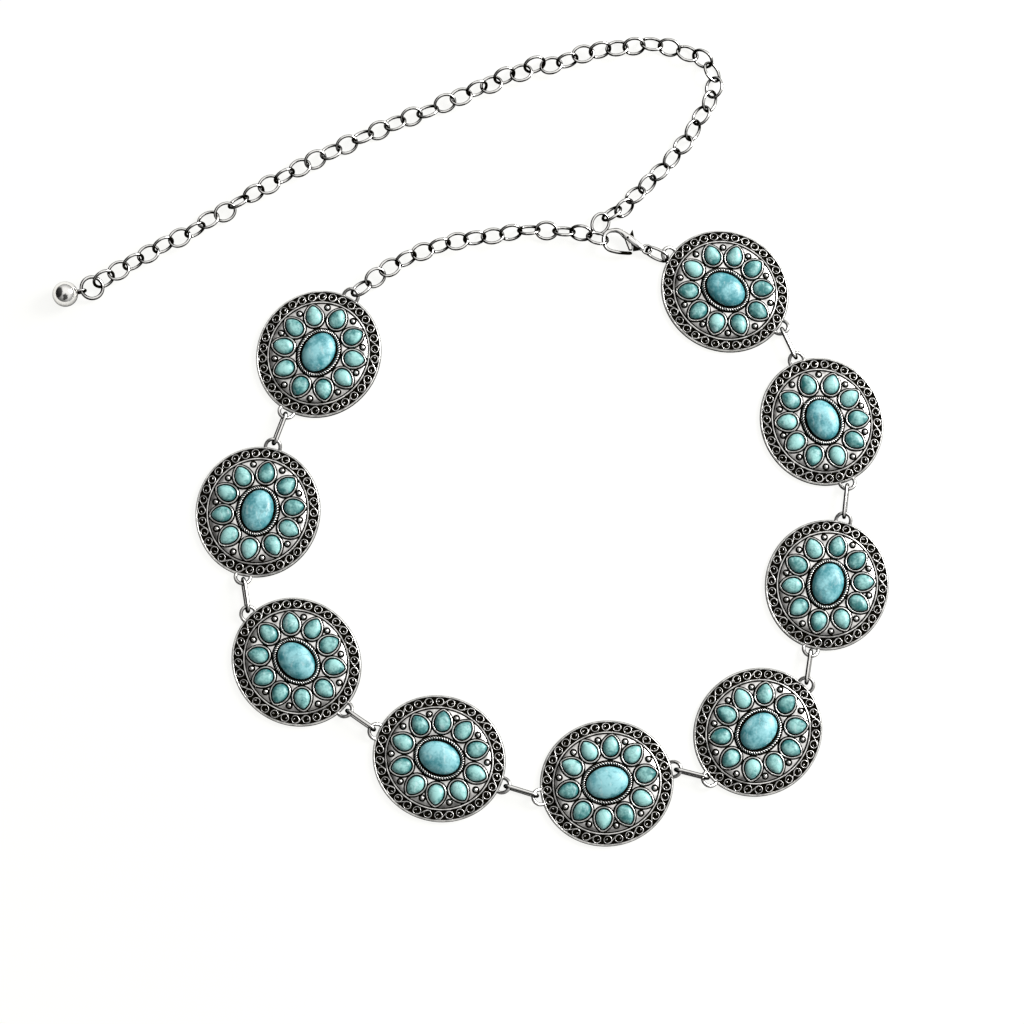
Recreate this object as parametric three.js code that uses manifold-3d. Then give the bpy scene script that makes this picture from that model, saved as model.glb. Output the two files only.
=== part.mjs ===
// Chain belt that lies flat: nine oval conchos set with turquoise and joined by long links, a lobster clasp,
// and a cable chain whose free end carries a round ring and a ball.
// Millimetres, +Z up. The surface that the belt lies on is z = 0, and x = y = 0 is the middle of its outline.

import * as THREE from 'three';
import { mergeVertices } from 'three/addons/utils/BufferGeometryUtils.js';
import Module from 'manifold-3d';

const wasm = await Module();
wasm.setup();

// Conchos, in order along the belt: the middle of each, and how far its long axis is turned from +X in degrees
const CONCHOS = [
  { x: -61, y: 31, turn: 62 },
  { x: -84.5, y: -33.5, turn: 78 },
  { x: -68.5, y: -93.5, turn: 135.5 },
  { x: -12, y: -131.5, turn: 157 },
  { x: 54, y: -141, turn: 12 },
  { x: 114, y: -120.5, turn: 44 },
  { x: 142.5, y: -61.5, turn: 75 },
  { x: 141.5, y: 5, turn: 111.5 },
  { x: 103, y: 58.5, turn: 146.5 },
];
const CONCHO_LENGTH = 52.9;
const CONCHO_WIDTH = 49.5;
const PLATE_SIDES = 20;

// The loops at the ends of each concho's long axis, tilted up so that a link passes under them
const LOOP = { length: 8.2, width: 8.2, wire: 1.6 };
const LOOP_FROM_MIDDLE = 26.8;
const LOOP_HEIGHT = 1.85;
const LOOP_TILT = 14;

// Stones
const CENTRE_STONE = { length: 16.8, width: 12.6, bottom: 4.2, height: 3.1, sides: 12 };
const PETAL_STONE = { length: 8, width: 6.2, bottom: 3.4, height: 2, sides: 8 };
const PETAL_COUNT = 10;
const PETAL_MEAN_DISTANCE = 15;
const PETAL_DISTANCE_SWING = 0.7;
const PETAL_POINT = 0.5;
const PETAL_WIDEST = 0.862;
const PETAL_BAR = { width: 0.8, height: 0.6 };

// Long links between the conchos, standing nearly on edge
const CONNECTOR = { length: 14.4, width: 5.4, wire: 1.2 };
const CONNECTOR_ROLL = 70;

// Cable chain
const CHAIN_LINK = { length: 9.2, width: 8, wire: 1.3 };
const FLAT_ROLL = 26;
const STEEP_ROLL = 58;
const CLEARANCE = 0.3;
// The short chain's route from concho 1 to the link in the clasp, lifted at its end, and how each link lies:
// f flat, s steep
const SHORT_ROUTE = [
  { x: -44.1, y: 57.1 },
  { x: -32.5, y: 66.6 },
  { x: -19.4, y: 73.2 },
  { x: -5.7, y: 77.7 },
  { x: 8.5, y: 80.1 },
  { x: 22.7, y: 82.8 },
  { x: 37.6, y: 82.5, lift: 0.3 },
  { x: 44.8, y: 81.9, lift: 1.3 },
];
const SHORT_LIES = 'sffsfsfsfssfsf';
// The link that the clasp holds, tilted over the hook
const HOOKED_LINK = { x: 52.5, y: 80.1, z: 4.2, heading: -14, roll: -50 };
// The tail's route from the hooked link to the end ring
const TAIL_ROUTE = [
  { x: 52.2, y: 86.2 },
  { x: 60.9, y: 92.8 },
  { x: 76.5, y: 107.7 },
  { x: 90.1, y: 125.2 },
  { x: 97.6, y: 137.6 },
  { x: 99.5, y: 145.5 },
  { x: 96.5, y: 153.5 },
  { x: 88.4, y: 158.8 },
  { x: 74, y: 161.8 },
  { x: 45.5, y: 157.3 },
  { x: 20.3, y: 148.9 },
  { x: -4.2, y: 138.2 },
  { x: -30.2, y: 127.1 },
  { x: -56.5, y: 114.6 },
  { x: -81.8, y: 100.4 },
  { x: -106, y: 85.8 },
  { x: -129.6, y: 71.2 },
  { x: -147.4, y: 61.1 },
];
const TAIL_LIES = 'fsfsfsfsfsfsfsffffsffsfffffsffsfsffsfsfsffsffsfsfsfs';
// The tail is made as runs that start at these links, each eased where it hooks into the run before
const TAIL_RUN_STARTS = [0, 15, 26, 41];

// End ring and ball
const END_RING = { length: 10, width: 10, wire: 1.4 };
const END_RING_PLACE = { x: -152.1, y: 56.9, z: 2.9, heading: 14, roll: 14, pitch: 8 };
const BALL_RADIUS = 5;
const BALL_PLACE = { x: -162.5, y: 54.3 };
const EYELET = { length: 5, width: 5, wire: 1.1 };
const EYELET_FROM_BALL = 6.2;
const EYELET_DROP = 1.5;

// Clasp, drawn in its own plane with the eye at the origin and the hook towards -X
const CLASP_PLACE = { x: 71.6, y: 75.6, z: 2.4, pitch: 5.4 };
const CLASP_THICKNESS = 2.8;
const HOOK_RADIUS = 1;
const HOOK_SIDES = 6;
const HOOK_STEPS = 16;
const HOOK_PATH = [
  { x: -9, y: 6.3 },
  { x: -12.3, y: 7.4 },
  { x: -15.8, y: 6.8 },
  { x: -17.5, y: 4.6 },
  { x: -17.6, y: 1.6 },
  { x: -15.8, y: -0.9 },
  { x: -12.2, y: -1.7 },
  { x: -6.8, y: -1.8 },
];
const SHOULDER_OUTLINE = [
  { x: -11.5, y: 8 },
  { x: -11.5, y: 5.9 },
  { x: -9.3, y: 3.9 },
  { x: -6.4, y: 1.3 },
  { x: -3.2, y: -0.6 },
  { x: -2, y: -1.4 },
  { x: -1.9, y: 1.7 },
  { x: -4, y: 3.8 },
  { x: -7.2, y: 6.2 },
];
const EYE = { length: 5.4, width: 5.4, wire: 1.2 };
const PIVOT = { x: -8, y: 4.4 };
const PIN_RADIUS = 0.4;
const PIN_LENGTH = 2.4;
const LEVER_HOLE_RADIUS = 0.7;
const ROUND_SIDES = 8;
const LEVER_THICKNESS = 1;
const SLOT = { fromX: -9.9, toX: -5.2, height: 1.6 };
const LEVER_OUTLINE = [
  { x: -9.1, y: 4.6 },
  { x: -8.5, y: 2.4 },
  { x: -7.9, y: -0.4 },
  { x: -6.7, y: -0.4 },
  { x: -6.9, y: 2.6 },
  { x: -6.8, y: 4.6 },
  { x: -5.7, y: 7.2 },
  { x: -6.7, y: 7.6 },
  { x: -8.2, y: 5.5 },
];
// Oval link between the eye and concho 9
const CLASP_LINK = { length: 9.2, width: 6.3, wire: 1.15 };
const CLASP_LINK_ROLL = 64;
// The clasp link's ends reach this far past the middle of the eye and of the loop
const CLASP_LINK_IN_EYE = 0.1;
const CLASP_LINK_IN_LOOP = 1;

const WELD = 1e-4;
const ALONG = new THREE.Vector3(1, 0, 0);

const antiqueSilver = new THREE.MeshStandardMaterial({ color: 0xa8a49c, roughness: 0.35, metalness: 1 });
const polishedSilver = new THREE.MeshStandardMaterial({ color: 0xc9c6bf, roughness: 0.2, metalness: 1 });
const centreTurquoise = new THREE.MeshStandardMaterial({ color: 0x6cc0cb, roughness: 0.3, metalness: 0 });
const petalTurquoise = new THREE.MeshStandardMaterial({ color: 0x74c8c2, roughness: 0.3, metalness: 0 });

const belt = new THREE.Group();

function degrees(angle) {
  return THREE.MathUtils.degToRad(angle);
}

// Solids: closed geometry in, joined or cut, and back to geometry

function solid(geometry) {
  const bare = new THREE.BufferGeometry();
  bare.setAttribute('position', geometry.attributes.position);
  bare.setIndex(geometry.index);
  const merged = mergeVertices(bare, WELD);
  const corners = merged.index.array;
  const triangles = [];
  for (let i = 0; i < corners.length; i += 3) {
    const [a, b, c] = corners.slice(i, i + 3);
    if (a !== b && b !== c && c !== a) triangles.push(a, b, c);
  }
  const vertProperties = Float32Array.from(merged.attributes.position.array);
  const triVerts = Uint32Array.from(triangles);
  return new wasm.Manifold(new wasm.Mesh({ numProp: 3, vertProperties, triVerts }));
}

function joined(geometries) {
  return geometries.map(solid).reduce((whole, piece) => whole.add(piece));
}

function geometryOf(manifold) {
  const mesh = manifold.getMesh();
  const geometry = new THREE.BufferGeometry();
  geometry.setAttribute('position', new THREE.BufferAttribute(Float32Array.from(mesh.vertProperties), 3));
  geometry.setIndex(Array.from(mesh.triVerts));
  geometry.computeVertexNormals();
  return geometry;
}

function addPiece(name, geometry, material, place = {}) {
  const mesh = new THREE.Mesh(geometry, material);
  mesh.name = name;
  mesh.applyMatrix4(placing(place));
  belt.add(mesh);
}

// Places: heading turns about Z, pitch tips the +X end down, and roll turns about the piece's own length

function placing({ x = 0, y = 0, z = 0, heading = 0, pitch = 0, roll = 0 }) {
  const turn = new THREE.Euler(degrees(roll), degrees(pitch), degrees(heading), 'ZYX');
  const matrix = new THREE.Matrix4().makeRotationFromEuler(turn);
  return matrix.setPosition(x, y, z);
}

// Shapes

function turned(profile, sides) {
  const points = profile.map(([radius, height]) => new THREE.Vector2(radius, height));
  return new THREE.LatheGeometry(points, sides).rotateX(Math.PI / 2);
}

function ring({ length, width, wire }, sides = 8) {
  const geometry = new THREE.TorusGeometry((width - wire) / 2, wire / 2, 4, sides);
  geometry.rotateZ(Math.PI / sides);
  const position = geometry.attributes.position;
  const stretch = (length - width) / 2;
  for (let i = 0; i < position.count; i += 1) {
    position.setX(i, position.getX(i) + Math.sign(position.getX(i)) * stretch);
  }
  return geometry;
}

function bar(from, to, width, height) {
  const run = to.clone().sub(from);
  const geometry = new THREE.BoxGeometry(run.length(), width, height);
  const turn = new THREE.Quaternion().setFromUnitVectors(ALONG, run.normalize());
  return geometry.applyQuaternion(turn).translate(...from.clone().add(to).multiplyScalar(0.5).toArray());
}

function slab(outline, thickness, holes = []) {
  const shape = new THREE.Shape(outline.map(({ x, y }) => new THREE.Vector2(x, y)));
  shape.holes.push(...holes);
  const settings = { depth: thickness, bevelEnabled: false, curveSegments: ROUND_SIDES };
  return new THREE.ExtrudeGeometry(shape, settings).translate(0, 0, -thickness / 2);
}

// A turned shape of radius 1, drawn out to a drop whose point is towards +X

function drawnToDrop(geometry, length, width) {
  const position = geometry.attributes.position;
  for (let i = 0; i < position.count; i += 1) {
    const radius = Math.hypot(position.getX(i), position.getY(i));
    const angle = Math.atan2(position.getY(i), position.getX(i));
    const narrowing = Math.abs(Math.sin(angle / 2)) ** PETAL_POINT / PETAL_WIDEST;
    const across = radius * Math.sin(angle) * narrowing;
    position.setXY(i, (radius * Math.cos(angle) * length) / 2, (across * width) / 2);
  }
  return geometry;
}

// Conchos

function conchoPlate() {
  const rim = CONCHO_LENGTH / 2;
  const profile = [
    [0, 1.2],
    [22.8, 0],
    [rim, 0],
    [25.6, 1.9],
    [21.2, 2.6],
    [9.6, 3.1],
    [9.4, 4.6],
    [8.8, 3.9],
    [0, 3.9],
  ];
  const plate = turned(profile, PLATE_SIDES).scale(1, CONCHO_WIDTH / CONCHO_LENGTH, 1);
  const loops = [1, -1].map((side) => {
    const place = { x: side * LOOP_FROM_MIDDLE, z: LOOP_HEIGHT, pitch: -side * LOOP_TILT };
    return ring(LOOP).applyMatrix4(placing(place));
  });
  return geometryOf(joined([plate, ...loops]));
}

function centreStone() {
  const { length, width, bottom, height, sides } = CENTRE_STONE;
  const profile = [
    [0, bottom],
    [length / 2, bottom],
    [length * 0.45, bottom + height * 0.5],
    [length * 0.26, bottom + height * 0.88],
    [0, bottom + height],
  ];
  return turned(profile, sides).scale(1, width / length, 1);
}

function petalPlaces() {
  return Array.from({ length: PETAL_COUNT }, (_, i) => {
    const heading = (360 / PETAL_COUNT) * i;
    const distance = PETAL_MEAN_DISTANCE + PETAL_DISTANCE_SWING * Math.cos(2 * degrees(heading));
    const x = distance * Math.cos(degrees(heading));
    const y = distance * Math.sin(degrees(heading));
    return { x, y, heading };
  });
}

function petalStones() {
  const { length, width, bottom, height, sides } = PETAL_STONE;
  const places = petalPlaces();
  const profile = [
    [0, bottom],
    [1, bottom],
    [0.85, bottom + height * 0.55],
    [0, bottom + height],
  ];
  const stones = places.map((place) => {
    const stone = drawnToDrop(turned(profile, sides).rotateZ(Math.PI / 2), length, width);
    return stone.applyMatrix4(placing(place));
  });
  const barHeight = bottom + PETAL_BAR.height;
  const bars = places.map((place, i) => {
    const next = places[(i + 1) % PETAL_COUNT];
    const from = new THREE.Vector3(place.x, place.y, barHeight);
    const to = new THREE.Vector3(next.x, next.y, barHeight);
    return bar(from, to, PETAL_BAR.width, PETAL_BAR.height);
  });
  return geometryOf(joined([...stones, ...bars]));
}

function addConchos() {
  CONCHOS.forEach(({ x, y, turn }, i) => {
    const place = { x, y, heading: turn };
    addPiece(`concho_plate_${i + 1}`, conchoPlate(), antiqueSilver, place);
    addPiece(`centre_stone_${i + 1}`, centreStone(), centreTurquoise, place);
    addPiece(`petal_stones_${i + 1}`, petalStones(), petalTurquoise, place);
  });
}

// Middle of a concho's loop: side is 1 at the end that its turn points to, and -1 at the other

function loopMiddle({ x, y, turn }, side) {
  const reach = side * LOOP_FROM_MIDDLE;
  return new THREE.Vector3(x + reach * Math.cos(degrees(turn)), y + reach * Math.sin(degrees(turn)), LOOP_HEIGHT);
}

// The loop of one concho that is nearest to the next concho

function loopTowards(concho, other) {
  const target = new THREE.Vector3(other.x, other.y, 0);
  const ends = [loopMiddle(concho, 1), loopMiddle(concho, -1)];
  return ends[0].distanceTo(target) < ends[1].distanceTo(target) ? ends[0] : ends[1];
}

function addConnectors() {
  const rise = ((CONNECTOR.width - CONNECTOR.wire) / 2) * Math.sin(degrees(CONNECTOR_ROLL));
  for (let i = 0; i + 1 < CONCHOS.length; i += 1) {
    const from = loopTowards(CONCHOS[i], CONCHOS[i + 1]);
    const to = loopTowards(CONCHOS[i + 1], CONCHOS[i]);
    const heading = THREE.MathUtils.radToDeg(Math.atan2(to.y - from.y, to.x - from.x));
    const place = { x: (from.x + to.x) / 2, y: (from.y + to.y) / 2, z: rise + CONNECTOR.wire / 2 };
    addPiece(`connector_link_${i + 1}`, ring(CONNECTOR), polishedSilver, { ...place, heading, roll: CONNECTOR_ROLL });
  }
}

// Cable chain: links at even steps along a route, rolled to one side and the other in turn

function linksAlong(route, lies, firstSide) {
  const curve = new THREE.CatmullRomCurve3(route.map(({ x, y, lift = 0 }) => new THREE.Vector3(x, y, lift)));
  curve.arcLengthDivisions = 2000;
  return Array.from(lies, (lie, i) => {
    const share = i / (lies.length - 1);
    const middle = curve.getPointAt(share);
    const along = curve.getTangentAt(share);
    const side = firstSide * (i % 2 ? -1 : 1);
    const roll = side * (lie === 'f' ? FLAT_ROLL : STEEP_ROLL);
    const halfWidth = (CHAIN_LINK.width - CHAIN_LINK.wire) / 2;
    const z = middle.z + halfWidth * Math.sin(degrees(Math.abs(roll))) + CHAIN_LINK.wire / 2;
    const heading = THREE.MathUtils.radToDeg(Math.atan2(along.y, along.x));
    const pitch = -THREE.MathUtils.radToDeg(Math.asin(along.z));
    return { x: middle.x, y: middle.y, z, heading, roll, pitch };
  });
}

// Neighbouring links of a run bite into each other, so that the run is one solid

function chainRun(links) {
  return joined(links.map((link) => ring(CHAIN_LINK).applyMatrix4(placing(link))));
}

// A ring grown by the clearance all round, to ease the piece that hooks into it

function grownRing(size, place) {
  const grown = {
    length: size.length + 2 * CLEARANCE,
    width: size.width + 2 * CLEARANCE,
    wire: size.wire + 2 * CLEARANCE,
  };
  return solid(ring(grown).applyMatrix4(placing(place)));
}

function addChains() {
  const short = linksAlong(SHORT_ROUTE, SHORT_LIES, -1);
  addPiece('short_chain', geometryOf(chainRun([...short, HOOKED_LINK])), polishedSilver);
  const tail = linksAlong(TAIL_ROUTE, TAIL_LIES, 1);
  TAIL_RUN_STARTS.forEach((start, run) => {
    const links = tail.slice(start, TAIL_RUN_STARTS[run + 1]);
    const before = start ? tail[start - 1] : HOOKED_LINK;
    const chain = chainRun(links).subtract(grownRing(CHAIN_LINK, before));
    addPiece(`tail_chain_${run + 1}`, geometryOf(chain), polishedSilver);
  });
}

function addEnd() {
  addPiece('end_ring', ring(END_RING, 12), polishedSilver, END_RING_PLACE);
  const ball = new THREE.SphereGeometry(BALL_RADIUS, 16, 10).rotateX(Math.PI / 2);
  const eyeletPlace = { x: EYELET_FROM_BALL, z: -EYELET_DROP, roll: 90 };
  const eyelet = ring(EYELET).applyMatrix4(placing(eyeletPlace));
  const place = { ...BALL_PLACE, z: BALL_RADIUS, heading: END_RING_PLACE.heading };
  addPiece('end_ball', geometryOf(joined([ball, eyelet])), polishedSilver, place);
}

// Clasp

function hookArm() {
  const path = new THREE.CatmullRomCurve3(HOOK_PATH.map(({ x, y }) => new THREE.Vector3(x, y, 0)));
  const section = new THREE.Shape();
  for (let i = 0; i < HOOK_SIDES; i += 1) {
    const angle = (2 * Math.PI * i) / HOOK_SIDES;
    const corner = [HOOK_RADIUS * Math.cos(angle), HOOK_RADIUS * Math.sin(angle)];
    if (i === 0) section.moveTo(...corner);
    else section.lineTo(...corner);
  }
  section.closePath();
  return new THREE.ExtrudeGeometry(section, { steps: HOOK_STEPS, extrudePath: path, bevelEnabled: false });
}

function claspBody() {
  const shoulder = slab(SHOULDER_OUTLINE, CLASP_THICKNESS);
  const slotDepth = 2 * (SHOULDER_OUTLINE[0].y + 1);
  const slot = new THREE.BoxGeometry(SLOT.toX - SLOT.fromX, slotDepth, SLOT.height);
  slot.translate((SLOT.fromX + SLOT.toX) / 2, 0, 0);
  const pin = new THREE.CylinderGeometry(PIN_RADIUS, PIN_RADIUS, PIN_LENGTH, ROUND_SIDES);
  pin.rotateX(Math.PI / 2).translate(PIVOT.x, PIVOT.y, 0);
  const body = joined([shoulder, hookArm(), ring(EYE)]).subtract(solid(slot));
  return geometryOf(body.add(solid(pin)));
}

function claspLever() {
  const hole = new THREE.Path().absarc(PIVOT.x, PIVOT.y, LEVER_HOLE_RADIUS, 0, 2 * Math.PI, true);
  return slab(LEVER_OUTLINE, LEVER_THICKNESS, [hole]);
}

function addClasp() {
  addPiece('clasp_body', claspBody(), polishedSilver, CLASP_PLACE);
  addPiece('clasp_lever', claspLever(), polishedSilver, CLASP_PLACE);
  const lastConcho = CONCHOS[CONCHOS.length - 1];
  const loop = loopMiddle(lastConcho, 1);
  const outward = loop.clone().sub(new THREE.Vector3(lastConcho.x, lastConcho.y, LOOP_HEIGHT)).normalize();
  const from = new THREE.Vector3(CLASP_PLACE.x + CLASP_LINK_IN_EYE, CLASP_PLACE.y, CLASP_PLACE.z);
  const to = loop.clone().add(outward.multiplyScalar(CLASP_LINK_IN_LOOP));
  const heading = THREE.MathUtils.radToDeg(Math.atan2(to.y - from.y, to.x - from.x));
  const rise = ((CLASP_LINK.width - CLASP_LINK.wire) / 2) * Math.sin(degrees(CLASP_LINK_ROLL));
  const place = { x: (from.x + to.x) / 2, y: (from.y + to.y) / 2, z: rise + CLASP_LINK.wire / 2 };
  addPiece('clasp_link', ring(CLASP_LINK), polishedSilver, { ...place, heading, roll: CLASP_LINK_ROLL });
}

addConchos();
addConnectors();
addChains();
addEnd();
addClasp();

export default belt;
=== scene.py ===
"""Concho chain belt that lies clasped on a pale floor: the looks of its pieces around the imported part.

The file is laid out as an add-on and run as a script. Pieces are shaped in millimetres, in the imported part's
frame, and become metres when they are made into objects.
"""

import random
from math import acos, asin, atan2, cos, degrees, hypot, pi, radians, sin, sqrt
from types import SimpleNamespace

import bmesh
import bpy
from bpy.props import FloatProperty, FloatVectorProperty, IntProperty, PointerProperty
from bpy.types import Operator, Panel, PropertyGroup
from mathutils import Matrix, Vector


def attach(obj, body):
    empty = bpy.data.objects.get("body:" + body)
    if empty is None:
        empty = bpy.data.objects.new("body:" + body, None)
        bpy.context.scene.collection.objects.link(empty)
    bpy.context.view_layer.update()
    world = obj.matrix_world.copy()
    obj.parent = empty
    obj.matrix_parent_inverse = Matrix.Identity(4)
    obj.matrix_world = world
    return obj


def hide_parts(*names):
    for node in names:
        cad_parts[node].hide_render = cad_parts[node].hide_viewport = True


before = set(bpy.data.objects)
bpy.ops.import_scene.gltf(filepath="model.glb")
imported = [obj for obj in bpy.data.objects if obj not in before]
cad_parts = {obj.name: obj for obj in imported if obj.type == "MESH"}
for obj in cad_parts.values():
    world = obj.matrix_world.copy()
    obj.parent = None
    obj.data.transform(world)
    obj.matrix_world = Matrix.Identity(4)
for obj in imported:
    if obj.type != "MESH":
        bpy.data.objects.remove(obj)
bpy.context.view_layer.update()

bl_info = {
    "name": "Concho chain belt",
    "version": (1, 0, 0),
    "blender": (4, 5, 0),
    "location": "3D View > Sidebar > Belt",
    "description": "Shapes and finishes the pieces of a concho chain belt",
    "category": "Object",
}

MM = 0.001
FULL_TURN = 2 * pi
SEED = 11

# How near vertices are merged, in millimetres; how far faces turn at a crisp edge of a casting and of the
# clasp's body, in degrees; and how far they turn at a corner that is softened, in radians
SAME_PLACE = 1e-4
CRISP_EDGE = 50
CRISP_CLASP_EDGE = 35
CORNER = 0.1

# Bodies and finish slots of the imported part
BELT = "belt"
LEVER = "lever"
ANTIQUE_SILVER = "antique_silver"
POLISHED_SILVER = "polished_silver"
CENTRE_TURQUOISE = "centre_turquoise"
PETAL_TURQUOISE = "petal_turquoise"

# Conchos in order along the belt: middle, and how far the long axis is turned from +X in degrees
CONCHOS = [
    (-61, 31, 62),
    (-84.5, -33.5, 78),
    (-68.5, -93.5, 135.5),
    (-12, -131.5, 157),
    (54, -141, 12),
    (114, -120.5, 44),
    (142.5, -61.5, 75),
    (141.5, 5, 111.5),
    (103, 58.5, 146.5),
]

# Concho plate, turned round its middle and then narrowed: radius along the long axis, height and tone,
# where tone is 0 on oxidised metal and 1 on polished metal; on the outer wall, tone 0 paints a dark outline of
# shade
PLATE_PROFILE = [
    (0, 1.2, 0.55),
    (21.4, 0.35, 0.5),
    (22.2, 0.2, 0.3),
    (22.8, 0.0, 0.5),
    (26.2, 0.0, 0.4),
    # Outer wall: its black is a painted dark outline of shade round the plate's edge
    (26.42, 0.15, 0),
    (26.45, 0.6, 0),
    (26.42, 0.95, 0),
    (26.3, 1.35, 0),
    (26.14, 1.7, 0.9),
    (25.98, 1.88, 1),
    (25.82, 1.93, 1),
    (25.68, 1.86, 0.5),
    (25.58, 1.6, 0),
    (25.3, 1.48, 0),
    (22.1, 1.9, 0),
    (21.74, 1.95, 0),
    (21.66, 2.2, 0.2),
    (21.58, 2.52, 1),
    (21.46, 2.66, 1),
    (21.16, 2.66, 1),
    (21.04, 2.5, 0.6),
    (20.94, 2.3, 0),
    (20.66, 2.3, 0),
    (20.5, 2.46, 0.4),
    (20.3, 2.62, 1),
    (18.0, 2.74, 1),
    (14.0, 2.91, 1),
    (10.0, 3.08, 1),
    (0, 3.1, 0),
]
PLATE_STEPS = 128

# Radius and height at the edge and in the middle of the plate's domed field
FIELD_EDGE = (20.3, 2.62)
FIELD_MIDDLE = (10.0, 3.08)

# Loops at the ends of a concho's long axis: each starts inside the plate's edge and rises outwards
LOOP_FROM_MIDDLE = 26.8
LOOP_HEIGHT = 1.85
LOOP_ROOT = (25.9, 0.92)
LOOP_RISE = 0.45
LOOP_ROWS = 33
LOOP_SIDES = 16

# Band of scrolls: the middle radius, the height of its floor there, and how the floor rises inwards
BAND_RADIUS = 23.72
BAND_FLOOR = 1.69
BAND_RISE = 0.133

# Scrolls: share of the line's width inside their size, turns from the band's middle to the eye, how fast
# they curl in, steps a turn, radius of the eye, how wide the line spreads, the heights of its crest and foot
# on the floor, and the dark stretch at the eye
SCROLL_LINE_INSIDE = 0.7
SCROLL_TURNS = 1.5
SCROLL_CURL = 6
SCROLL_STEPS = 16
SCROLL_EYE = 0.26
SCROLL_SPREAD = 0.6
SCROLL_CREST = 0.36
SCROLL_FOOT = -0.06
SCROLL_DARK_ROWS = range(3, 7)
SCROLL_DARK_TONE = 0.2

# Wall round a petal stone, once round its section: distance outside the stone, height above the field, tone
PETAL_WALL = [
    (1.0, 0.3, 0),
    (0.92, 0.66, 0.6),
    (0.84, 0.81, 1),
    (0.68, 0.87, 1),
    (0.52, 0.83, 1),
    (0.44, 0.7, 0.4),
    (0.36, 0.45, 0),
    (-0.1, 0.36, 0),
    (-0.5, 0.3, 0),
    (-0.5, -0.3, 0),
    (1.5, -0.3, 0),
    (1.52, 0.02, 0),
    (1.3, 0.06, 0),
    (1.06, 0.1, 0),
]
PETAL_WALL_STEPS = 44
PETAL_COUNT = 10
PETAL_MEAN_DISTANCE = 15
PETAL_DISTANCE_SWING = 0.7
DROP_POINT = 0.32
DROP_WIDEST = 0.905

# Seat of the centre stone and its rope border: half length, half width, height above the field and tone
CENTRE_SEAT = [
    (10.35, 8.7, 0.12, 0),
    (9.4, 7.65, 0.2, 0),
    (8.66, 6.72, 0.9, 0),
    (8.5, 6.5, 0.94, 0.15),
    (8.34, 6.3, 0.8, 0),
    (7.8, 5.8, 0.5, 0),
    (7.8, 5.8, -0.3, 0),
    (10.6, 8.9, -0.3, 0),
    (10.62, 8.92, 0.02, 0),
]
CENTRE_SEAT_STEPS = 72
ROPE_PATH = (9.4, 7.65)
ROPE_HEIGHT = 3.72
ROPE_STRANDS = 56
ROPE_STEPS_A_STRAND = 6
ROPE_SIDES = 10
ROPE_CORE = 0.8
ROPE_LOBE = 0.24

# Small balls between the petals' points, each in a dark dimple
BALL_DISTANCE = 18.1
BALL_DISTANCE_SWING = 1.05
DIMPLE = [
    (1.5, 0.03, 0),
    (1.3, 0.06, 0),
    (0.9, 0.05, 0),
    (0.5, 0.05, 0),
    (0.5, -0.3, 0),
    (1.5, -0.3, 0),
]
DIMPLE_STEPS = 18
BALL_SIDES = 12
BALL_ROWS = 6
BALL_FLATNESS = 0.8
BALL_SUNK = 0.02

# Stones: share of the outline and share of the height, from the girdle to the crown; then each kind's girdle
# height and sides, and the gap between a petal stone and its wall
CABOCHON = [
    (0.97, 0.0),
    (1.0, 0.1),
    (0.985, 0.26),
    (0.935, 0.44),
    (0.84, 0.62),
    (0.7, 0.77),
    (0.53, 0.885),
    (0.34, 0.96),
    (0.16, 0.992),
    (0.0, 1.0),
]
CENTRE_GIRDLE = 3.9
CENTRE_SIDES = 64
PETAL_GIRDLE = 3.35
PETAL_SIDES = 36
PETAL_GAP = 0.08

# Cable chain: middles of every second link from concho 1 to the clasp, and of every fourth of the tail from
# there to the end ring, with how far each is raised. Each link is rolled by so many steps from the lean that
# turns it to the camera, and some links of the tail lie aside in X and Y.
SHORT_LINKS_A_ROW = 2
SHORT_MIDDLES = [
    (-44.2, 57.7, 0),
    (-32.7, 66.5, 0),
    (-19.6, 73.2, 0),
    (-5.7, 77.7, 0),
    (8.7, 80.1, 0),
    (23.4, 82.6, 0),
    (37.6, 82.1, 0.3),
    (51.2, 80.4, 2.6),
]
SHORT_ROLLS = "52252525346164"
HOOKED_LINK = {"x": 51.1, "y": 79.2, "z": 4.5, "heading": -8, "pitch": 8, "roll": -37}
FIRST_TAIL_LINK = {"x": 52.5, "y": 86.0, "z": 1.85, "heading": 66, "pitch": -7, "roll": 12.5}
TAIL_LINKS_A_ROW = 4
TAIL_MIDDLES = [
    (52.2, 85.8, 0),
    (71.6, 102.5, 0),
    (90.4, 125.4, 0),
    (98.6, 150.3, 0),
    (73.9, 162.0, 0),
    (45.7, 157.1, 0),
    (20.4, 148.9, 0),
    (-4.2, 138.4, 0),
    (-31.0, 127.0, 0),
    (-56.9, 114.6, 0),
    (-81.8, 100.4, 0),
    (-106.1, 85.7, 0),
    (-129.9, 71.2, 0),
    (-153.3, 57.1, 0),
]
TAIL_ROLLS = "1644444344434433433415242425225242524226146136152514"
TAIL_ASIDE = {
    2: (0.2, -1.5),
    10: (0.2, -0.8),
    11: (0.3, -1.1),
    13: (-0.1, 1.3),
    17: (-0.4, -1.2),
    18: (-0.2, -0.8),
    21: (0, -1.1),
    22: (-0.2, -1.1),
    23: (-0.8, 1.2),
    25: (-0.8, 1.1),
    27: (0.1, 0.7),
    30: (-0.3, -0.8),
    43: (0.7, -0.4),
    45: (0.8, -0.9),
    46: (0.6, -0.5),
}
TAIL_RUN_STARTS = [0, 15, 26, 41]
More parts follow.
